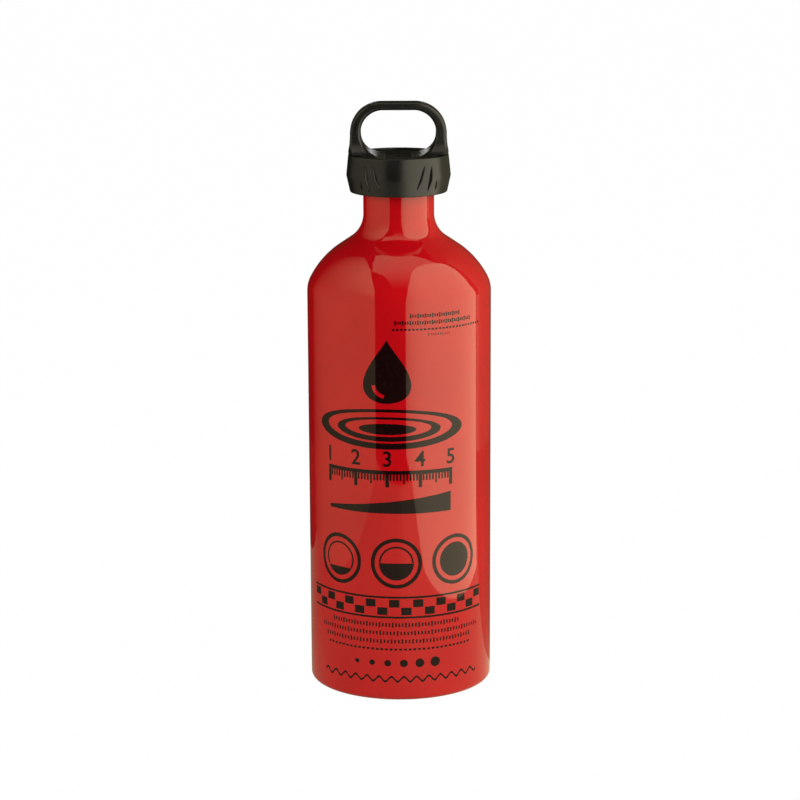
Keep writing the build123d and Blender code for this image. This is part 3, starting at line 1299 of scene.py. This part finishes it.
@dataclass
class BailLoop:
    """Disc of the cap with its finger loop, whose feet flare into the disc and over the rim."""

    disc_bottom: float = 210.9
    disc_top: float = 212.8
    disc_radius: float = 17.25
    bead: float = 0.4
    leg_outer: float = 19.0
    leg_thickness: float = 4.3
    loop_top: float = 234.0
    bar_height: float = 3.15
    corner_radius: float = 12.4
    loop_depth: float = 8.0
    foot_depth: float = 30.0
    foot_reach: float = 10.0
    foot_overhang: float = 2.0
    foot_bottom: float = 214.0
    outer_limit: float = 19.75
    edge_round: float = 1.3
    edge_points: int = 12
    side_points: tuple[int, int] = (18, 8)
    leg_sections: int = 44
    leg_crowding: float = 1.6
    arch_sections: int = 26
    bar_sections: int = 8
    core_sections: int = 14
    core_ends: Corner = (-0.3, 0.02, 0.15)
    gate_mark: tuple[Corner, ...] = ((3.0, 0.0, 0), (0.85, 0.0, 0.1), (0.7, 0.15, 0.1), (0.55, 0.3, 0.1))
    dogs: int = 12
    dog_distance: float = 10.0
    dog_half: Point = (1.6, 1.0)
    dog_steps: tuple[Point, ...] = ((-0.1, 0.0), (1.5, 0.2), (1.7, 0.4))

    @property
    def leg_top(self) -> float:
        """Height at which the legs bend into the bar."""
        return self.loop_top - self.corner_radius

    def section(self, thickness: float, depth: float) -> np.ndarray:
        """Rounded rectangle with the same number of points on every side, whatever its size.

        Args:
            thickness: width of the rectangle.
            depth: its height, along the depth of the loop.

        Returns:
            Points round the rectangle, centred.
        """
        a, b = thickness / 2, depth / 2
        bend = min(self.edge_round, a * 0.95)
        run = rounded([(a, -b, bend), (a, b, bend), (-a, b, bend), (-a, -b, bend)], True, self.edge_points)
        edges = run.reshape(4, self.edge_points, 2)
        out: list[np.ndarray] = []
        for index, edge in enumerate(edges):
            count = self.side_points[index % 2]
            out.extend(edge)
            out.extend(edge[-1] + (edges[(index + 1) % 4][0] - edge[-1]) * k / count for k in range(1, count))
        return np.array(out)

    def foot_row(self, height: float) -> np.ndarray:
        """Level section of the right foot, which flares in a quarter round towards the disc.

        Args:
            height: height of the section.

        Returns:
            Points of the section.
        """
        share = min(1.0, max(0.0, (height - self.disc_top) / (self.leg_top - self.disc_top)))
        flare = 1 - math.sqrt(1 - (1 - share) ** 2)
        inner = self.leg_outer - self.leg_thickness - flare * self.foot_reach
        outer = self.leg_outer + flare * self.foot_overhang
        flat = self.section(outer - inner, self.loop_depth + flare * (self.foot_depth - self.loop_depth))
        return np.stack([flat[:, 0] + (inner + outer) / 2, flat[:, 1], np.full(len(flat), height)], 1)

    def arch_row(self, turn: float) -> np.ndarray:
        """Section across the bar part way round the corner, `turn` from 0 at the leg to 1 at the bar.

        Args:
            turn: how far round the corner.

        Returns:
            Points of the section.
        """
        thickness = self.leg_thickness + turn * (self.bar_height - self.leg_thickness)
        angle = math.radians(90 * turn)
        outward = np.array([math.cos(angle), 0.0, math.sin(angle)])
        corner = np.array([self.leg_outer - self.corner_radius, 0.0, self.leg_top])
        centre = corner + outward * (self.corner_radius - thickness / 2)
        flat = self.section(thickness, self.loop_depth)
        return centre + flat[:, :1] * outward + flat[:, 1:] * np.array([0.0, 1.0, 0.0])

    def half(self) -> list[np.ndarray]:
        """Sections from the bottom of the right foot to the middle of the bar.

        Returns:
            The sections in order.
        """
        shares = np.linspace(0, 1, self.leg_sections) ** self.leg_crowding
        heights = self.foot_bottom + (self.leg_top - self.foot_bottom) * shares
        rows = [self.foot_row(float(height)) for height in heights]
        rows += [self.arch_row(float(turn)) for turn in np.linspace(0, 1, self.arch_sections)[1:]]
        end, count = rows[-1], self.bar_sections
        reach = end[:, 0].mean()
        return rows + [end - np.array([reach * k / count, 0.0, 0.0]) for k in range(1, count + 1)]

    @staticmethod
    def held_in(rows: np.ndarray, limit: float) -> np.ndarray:
        """Draws points beyond that radius back onto it.

        Args:
            rows: points to draw in.
            limit: that radius.

        Returns:
            The points, none beyond it.
        """
        radius = np.hypot(rows[..., 0], rows[..., 1])
        share = np.where(radius > limit, limit / np.maximum(radius, 1e-9), 1.0)
        return rows * np.stack([share, share, np.ones_like(share)], -1)

    def add_loop(self, blank: Blank) -> None:
        """Adds the loop down to the undersides of its feet.

        Args:
            blank: the piece being made.
        """
        right = self.half()
        left = [row * np.array([-1.0, 1.0, 1.0]) for row in right[-2::-1]]
        blank.bar(self.held_in(np.array(right + left), self.outer_limit))

    def add_foot_cores(self, blank: Blank) -> None:
        """Adds the parts of the feet that stand on the disc inside the rim.

        Args:
            blank: the piece being made.
        """
        lowest, low, high = self.core_ends
        heights = np.linspace(self.disc_top + low, self.foot_bottom + high, self.core_sections)
        heights = [self.disc_top + lowest, *heights]
        for side in (1.0, -1.0):
            rows = np.array([self.foot_row(float(height)) for height in heights]) * np.array([side, 1.0, 1.0])
            blank.bar(self.held_in(rows, self.disc_radius))

    def add_disc(self, blank: Blank) -> None:
        """Adds the disc with its snap bead and the mark of the moulding gate.

        Args:
            blank: the piece being made.
        """
        middle = (self.disc_bottom + self.disc_top) / 2
        outline = rounded(
            [
                (0.4, self.disc_bottom, 0),
                (self.disc_radius, self.disc_bottom, 0.2),
                (self.disc_radius, middle - self.bead, 0),
                (self.disc_radius + self.bead, middle, 0.1),
                (self.disc_radius, middle + self.bead, 0),
                (self.disc_radius, self.disc_top, 0.25),
                *((radius, self.disc_top - drop, bend) for radius, drop, bend in self.gate_mark),
                (0.3, self.disc_top - 0.3, 0),
            ]
        )
        rows = turned(refined(outline, 2.0), full_turn(180))
        blank.sheet(rows, finish=1)
        blank.fan(rows[0], (0, 0, self.disc_bottom), 1, flip=True)
        blank.fan(rows[-1], (0, 0, self.disc_top - 0.22), 1)

    def add_dogs(self, blank: Blank) -> None:
        """Adds the clutch dogs under the disc.

        Args:
            blank: the piece being made.
        """
        width, depth = self.dog_half
        for turn in full_turn(self.dogs) + math.pi / self.dogs:
            ahead = np.array([math.cos(turn), math.sin(turn)])
            aside = np.array([-math.sin(turn), math.cos(turn)])
            rows = []
            for drop, shrink in self.dog_steps:
                for s, t in ((-1, -1), (1, -1), (1, 1), (-1, 1)):
                    place = ahead * (self.dog_distance + s * (width - shrink)) + aside * t * (depth - shrink)
                    rows.append((*place, self.disc_bottom - drop))
            blank.bar(np.array(rows).reshape(3, 4, 3))

    def build(self) -> None:
        """Makes the disc and loop as one piece."""
        blank = Blank()
        for add in (self.add_disc, self.add_foot_cores, self.add_loop, self.add_dogs):
            add(blank)
        loop = blank.piece("bail_loop", (CAP_PLASTIC, DISC_PLASTIC), "cap", 50.0)
        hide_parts("bail_cap")
        group("cap_group").objects.link(loop)


@dataclass
class Closure:
    """Inner parts of the closure: plug with its thread, sealing ring and wave spring."""

    stem_radius: float = 9.6
    thread_crest: float = 11.05
    thread_start: float = 191.6
    thread_turns: float = 2.5
    thread_shift: float = 0.5 + 1.3 / 3.5
    flange_top: float = 207.2
    spring_middle: float = 209.05
    spring_lift: float = 1.55
    spring_inner: float = 12.7
    spring_outer: float = 15.8
    spring_thickness: float = 0.5
    spring_edge: float = 0.12
    spring_waves: int = 3
    pressed_share: float = 0.5

    def dress(self, node: str, finish: Finish) -> None:
        """Gives a CAD node its finish.

        Args:
            node: name of the CAD node.
            finish: the finish that it gets.
        """
        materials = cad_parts[node].data.materials
        materials.clear()
        materials.append(finish.material())
        log.info("%s: dressed as %s", node, finish.label)

    def build(self) -> None:
        """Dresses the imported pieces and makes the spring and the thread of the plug."""
        self.dress("threaded_plug", PLUG_PLASTIC)
        self.dress("o_ring", RUBBER)
        self.spring()
        blank = Blank()
        thread = (self.stem_radius, self.thread_crest, self.thread_start, self.thread_turns)
        Thread(ThreadSide.OUT_OF_STEM, *thread, shift=self.thread_shift).add_to(blank)
        blank.piece("plug_thread", (PLUG_PLASTIC,), "plug")

    def spring(self) -> None:
        """Flat ring bent into even waves; the real spring flattens as the cap is pushed down, but this mesh
        keeps its waves.
        """
        half = self.spring_thickness / 2
        corners = ((self.spring_inner, -half), (self.spring_outer, -half))
        corners += ((self.spring_outer, half), (self.spring_inner, half))
        section = rounded([(*corner, self.spring_edge) for corner in corners], closed=True)
        angles = full_turn(288)
        rows = turned(section, angles)
        waves = np.cos(self.spring_waves * (angles - math.pi / 2))
        rows[..., 2] += self.spring_middle + self.spring_lift * waves
        blank = Blank()
        blank.sheet(rows, loop=True)
        ring = blank.piece("spring_ring", (STEEL,), "spring")
        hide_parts("wave_spring")
        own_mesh(ring)


# Studio


@dataclass(frozen=True)
class Reflector:
    """Glowing card or dark patch that only gloss shows, with its corners in metres.

    `fade` holds the Y at which the glow is gone and the Y at which it is full, `lift` the share that
    is added towards the top with the heights at which that starts and ends, and `stops` pairs of
    direction, in degrees from the back towards the right, and strength. Where `shown_by` names a
    group, only its pieces show the reflector.
    """

    name: str
    colour: Colour
    corners: tuple[Corner, ...] = ()
    strength: float = 1.0
    fade: tuple[float, float] | None = None
    lift: tuple[float, float, float] | None = None
    stops: Stops = ()
    shown_by: str = ""

    def sheet(self) -> tuple[Sequence[Corner], list[tuple[int, ...]]]:
        """Corners, and the numbers of those of each face."""
        return self.corners, [tuple(range(len(self.corners)))]

    def glow(self, graph: Graph) -> Value:
        """Strength of the glow, as a number or as a signal of that node tree.

        Args:
            graph: node tree of the card.

        Returns:
            The strength.
        """
        strength: Value = self.strength
        if self.stops:
            turn = graph.axis("X").angle_to(graph.axis("Y")) / (2 * math.pi) + 0.5
            stops = [(degrees / 360 + 0.5, level) for degrees, level in self.stops]
            strength = strength * graph.add("ShaderNodeValToRGB", {"stops": stops}, {0: turn})
        if self.fade is not None:
            strength = strength * graph.axis("Y").step(*self.fade)
        if self.lift is not None:
            share, low, high = self.lift
            strength = strength * (1 + share * graph.axis("Z").step(low, high))
        return strength

    def build(self) -> None:
        """Makes the reflector."""
        obj, graph = staged(self.name, self.name, *self.sheet())
        graph.finish(graph.emission(self.colour, self.glow(graph)))
        for ray in ("camera", "diffuse", "shadow", "transmission", "volume_scatter"):
            setattr(obj, f"visible_{ray}", False)
        if self.shown_by:
            obj.light_linking.receiver_collection = group(self.shown_by)


@dataclass(frozen=True)
class RoundWall(Reflector):
    """Upright round wall round the bottle's axis, from the first stop's direction to the last one's."""

    reach: float = 0.0
    bottom: float = 0.002
    top: float = 1.0

    def sheet(self) -> tuple[Sequence[Corner], list[tuple[int, ...]]]:
        """Corners in upright pairs, and the strips between the pairs.

        Returns:
            The corners, and the numbers of those of each strip.
        """
        turns = np.radians(np.linspace(self.stops[0][0], self.stops[-1][0], 49))
        pairs = [(self.reach * math.sin(turn), self.reach * math.cos(turn)) for turn in turns]
        corners = [(x, y, z) for x, y in pairs for z in (self.bottom, self.top)]
        return corners, [(k, k + 2, k + 3, k + 1) for k in range(0, len(corners) - 2, 2)]


def staged(
    name: str, finish: str, corners: Sequence[Corner], faces: Sequence[tuple[int, ...]]
) -> tuple[bpy.types.Object, Graph]:
    """Makes a sheet that belongs to the studio and not to the bottle.

    Args:
        name: name of the sheet.
        finish: name of its material.
        corners: its corners, in metres.
        faces: numbers of the corners of each face.

    Returns:
        The sheet and its material's empty node tree.
    """
    mesh = bpy.data.meshes.new(name)
    mesh.from_pydata(corners, [], faces)
    material = bpy.data.materials.new(finish)
    mesh.materials.append(material)
    obj = placed(name, mesh)
    return obj, Graph(material)


def rectangle(low: Point, high: Point) -> list[Point]:
    """Corners of an upright rectangle between two opposite ones."""
    return [low, (high[0], low[1]), high, (low[0], high[1])]


def laid(outline: Sequence[Point], height: float) -> tuple[Corner, ...]:
    """That outline laid level at a height."""
    return tuple((x, y, height) for x, y in outline)


@dataclass(frozen=True)
class Lamp:
    """Soft rectangular lamp that faces the bottle; lengths in metres and power in watts."""

    name: str
    spot: Corner
    size: tuple[float, float]
    colour: Colour
    power: float
    aim: Corner = (0.0, 0.0, 0.1)

    def build(self) -> None:
        """Makes the lamp."""
        data = bpy.data.lights.new(self.name, "AREA")
        data.shape = "RECTANGLE"
        data.size, data.size_y = self.size
        data.color = self.colour
        data.energy = self.power
        turn = (Vector(self.aim) - Vector(self.spot)).to_track_quat("-Z", "Y")
        obj = placed(self.name, data)
        obj.matrix_world = Matrix.Translation(self.spot) @ turn.to_matrix().to_4x4()
        obj.visible_camera = False
        obj.visible_glossy = False


@dataclass
class Studio:
    """Pale floor, soft lamps, reflectors and the camera."""

    eye: Corner = (0.0, -1.0326, 0.3430)
    pitch: float = 12.488
    roll: float = -0.27
    focal_pixels: float = 2636.2
    picture: float = 800.0
    sensor: float = 36.0
    centre_pixel: float = 399.6
    fill: float = 0.15
    fill_colour: Colour = (1.0, 0.98, 0.95)
    seen_white: float = 0.992
    floor_front: float = -0.382
    floor_side: float = 6.0
    floor_back: float = 9.0
    left_distance: float = 0.2
    right_normal: Point = (0.94, -0.34)
    right_distance: float = 0.16
    ceiling_height: float = 0.9
    glint_distance: float = 0.405
    glint_heights: tuple[float, float] = (0.216, 0.246)
    glint_cards: tuple[tuple[str, float, float, float], ...] = (
        ("right_glint", 0.018, 0.038, 3.0),
        ("left_glint", -0.038, -0.018, 3.2),
    )
    shade_height: float = 0.0008
    wall_reach: float = 0.42
    wall_height: float = 0.62
    wall_tint: Colour = (0.95, 0.85, 0.50)
    room: float = 3.3
    room_height: float = 6.0
    dark: float = 0.02
    lamps: tuple[Lamp, ...] = (
        Lamp("right_lamp", (1.15, -0.42, 0.52), (0.9, 1.1), (1.0, 0.95, 0.88), 22.5),
        Lamp("left_lamp", (-0.86, -0.78, 0.42), (0.8, 0.9), (1.0, 0.97, 0.93), 11.3),
        Lamp("top_lamp", (0.15, -0.2, 1.25), (0.8, 0.6), (1.0, 0.97, 0.93), 0.8),
    )

    def camera(self) -> None:
        """Camera at the place and angle of the picture."""
        data = bpy.data.cameras.new("camera")
        data.sensor_width = self.sensor
        data.lens = self.focal_pixels / self.picture * self.sensor
        data.shift_x = (self.picture / 2 - self.centre_pixel) / self.picture
        tilt = Matrix.Rotation(math.radians(90 - self.pitch), 4, "X")
        roll = Matrix.Rotation(math.radians(self.roll), 4, "Z")
        obj = placed("camera", data)
        obj.matrix_world = Matrix.Translation(self.eye) @ tilt @ roll
        bpy.context.scene.camera = obj

    def world(self) -> None:
        """White background for the camera, metal and glass, and a soft fill elsewhere."""
        world = bpy.data.worlds.new("studio")
        bpy.context.scene.world = world
        graph = Graph(world)
        seen = graph.add("ShaderNodeLightPath", output="Is Camera Ray")
        shown = seen.largest(seen.sibling("Is Glossy Ray")).largest(seen.sibling("Is Transmission Ray"))
        lights = ((opaque(self.fill_colour), self.fill), ((1, 1, 1, 1), 1.0))
        fill, white = (
            graph.add("ShaderNodeBackground", None, {"Color": colour, "Strength": strength})
            for colour, strength in lights
        )
        graph.finish(graph.mix(shown, fill, white), "World")

    def floor(self) -> None:
        """Pale floor: white to the camera with a soft shadow; in gloss a glow with painted light by the right
        card and painted shade behind the bottle.
        """
        outline = rectangle((-self.floor_side, self.floor_front), (self.floor_side, self.floor_back))
        _, graph = staged("floor", "pale_floor", laid(outline, 0.0), [(0, 1, 2, 3)])
        tone = graph.blend(graph.noise(2.0), (0.56, 0.56, 0.55), (0.54, 0.54, 0.53))
        matt = {"Base Color": tone, "Roughness": 0.9, "Specular IOR Level": 0.1}
        # painted light and shade for gloss: the glow is brighter towards the right card and darker behind the
        # bottle away from that card
        painted_light_by_right_card = graph.axis("X").step(-0.02, 0.035)
        behind = graph.axis("Y").step(-0.08, 0.06)
        strength = 0.5 + 0.25 * painted_light_by_right_card - 0.25 * behind * (1 - painted_light_by_right_card)
        seen = graph.add("ShaderNodeLightPath", output="Is Camera Ray")
        lit = graph.mix(
            seen.sibling("Is Glossy Ray"),
            graph.add("ShaderNodeBsdfPrincipled", None, matt),
            graph.emission((1, 0.95, 0.62), strength),
        )
        graph.finish(graph.mix(seen * self.seen_white, lit, graph.emission((1, 1, 1), 1.0)))

    def cards(self) -> list[Reflector]:
        """The bright cards at both sides and overhead.

        Returns:
            The cards.
        """
        left = ((-0.362, 0.001), (-0.362, 0.22), (-0.335, 0.33), (-0.284, 0.459), (-0.08, 0.556))
        left += ((0.107, 0.551), (0.154, 0.427), (0.181, 0.352), (0.206, 0.288), (0.164, 0.176))
        left += ((0.155, 0.11), (0.178, 0.05), (0.194, 0.001))
        right = ((-0.309, 0.024), (-0.236, 0.027), (-0.2, 0.017), (-0.145, 0.001), (0.112, 0.001))
        right += ((0.105, 0.032), (0.101, 0.1), (0.098, 0.15), (0.092, 0.214), (0.1, 0.275))
        right += ((0.107, 0.325), (0.108, 0.403), (0.078, 0.479), (0.035, 0.55), (-0.037, 0.627))
        right += ((-0.122, 0.635), (-0.247, 0.461), (-0.305, 0.221))
        top = ((-0.243, 0.17), (-0.05, 0.13), (0.17, 0.115), (0.45, 0.1), (0.9, 0.05), (0.9, -0.3))
        top += ((0.165, -0.3), (0.165, -0.7), (-0.12, -0.7), (-0.128, -0.6), (-0.162, -0.463))
        top += ((-0.203, -0.331), (-0.35, -0.16), (-0.3, 0.02), (-0.265, 0.09))
        (nx, ny), d = self.right_normal, self.right_distance
        at_left = tuple((-self.left_distance, y, z) for y, z in left)
        at_right = tuple((nx * d - ny * t, ny * d + nx * t, z) for t, z in right)
        overhead = laid(top, self.ceiling_height)
        return [
            Reflector("left_card", (1.0, 0.90, 0.54), at_left, 0.84, (0.22, -0.12), (0.85, 0.22, 0.44)),
            Reflector("right_card", (1.0, 0.90, 0.60), at_right, 3.0, (-0.571, -0.11)),
            Reflector("top_card", (1.0, 0.90, 0.62), overhead, 1.28, (-0.74, -0.08)),
        ]

    def glints(self) -> list[Reflector]:
        """The small upright cards behind the bottle that only the cap's loop shows.

        Returns:
            The cards.
        """
        low, high = self.glint_heights
        cards = []
        for name, left, right, strength in self.glint_cards:
            corners = tuple((x, self.glint_distance, z) for x, z in rectangle((left, low), (right, high)))
            cards.append(Reflector(name, (1, 1, 1), corners, strength, shown_by="cap_group"))
        return cards

    def surroundings(self) -> list[Reflector]:
        """The walls, the dark table in front and the shaded floor behind, which gloss shows.

        Returns:
            The cards that stand for them.
        """
        side, tint = self.room + 0.1, self.wall_tint
        table = laid(rectangle((-side, -side), (side, self.floor_front)), 0.0)
        ceiling = laid(rectangle((-side, -side), (side, side)), self.room_height)
        by_wall = ((0.28, 0.34), (0.19, 0.40), (0.10, 0.43), (0.0, 0.44))
        right = ((0.038, 0.011), (0.057, 0.017), (0.103, 0.035), (0.156, 0.051), (0.40, 0.14))
        right = laid((*right, (0.34, 0.27), *by_wall, (0.0, 0.08)), self.shade_height)
        left = ((-0.05, 0.21), (-0.12, 0.165), (-0.16, 0.148), (-0.42, 0.15), (-0.35, 0.27))
        left = laid((*left, *((-x, y) for x, y in by_wall)), self.shade_height)
        right_stops = ((-5, 0.03), (0, 0.04), (20, 0.08), (30, 0.11), (40, 0.14), (50, 0.19))
        right_stops += ((60, 0.28), (75, 0.34))
        rear_stops = ((-75, 0.01), (-30, 0.01), (0, 0.04), (20, 0.09), (30, 0.14), (40, 0.20))
        rear_stops += ((48, 0.25), (54, 0.31), (60, 0.40), (66, 0.55))
        room_stops = ((-180, 0.02), (-10, 0.01), (20, 0.16), (75, 0.22), (95, 0.03), (180, 0.02))
        return [
            Reflector("dark_table", (1, 1, 1), table, self.dark),
            Reflector("dark_ceiling", (1, 1, 1), ceiling, self.dark),
            Reflector("shade_behind_right", tint, right, stops=right_stops),
            Reflector("shade_behind_left", tint, left, 0.03),
            RoundWall("rear_wall", tint, stops=rear_stops, reach=self.wall_reach, top=self.wall_height),
            RoundWall("room_wall", tint, stops=room_stops, reach=self.room, top=self.room_height),
        ]

    def build(self) -> None:
        """Sets up the whole studio."""
        bpy.context.scene.view_settings.view_transform = "Standard"
        self.camera()
        self.world()
        self.floor()
        for item in (*self.cards(), *self.surroundings(), *self.glints(), *self.lamps):
            item.build()
        log.info("studio ready")


def main() -> None:
    """Builds the studio and every piece in order."""
    logging.basicConfig(level=logging.INFO, format="%(name)s: %(message)s")
    for part in (Studio(), BottleShell(), BarrelPrint(), Closure(), GripRing(), BailLoop()):
        part.build()


if __name__ == "__main__":
    main()
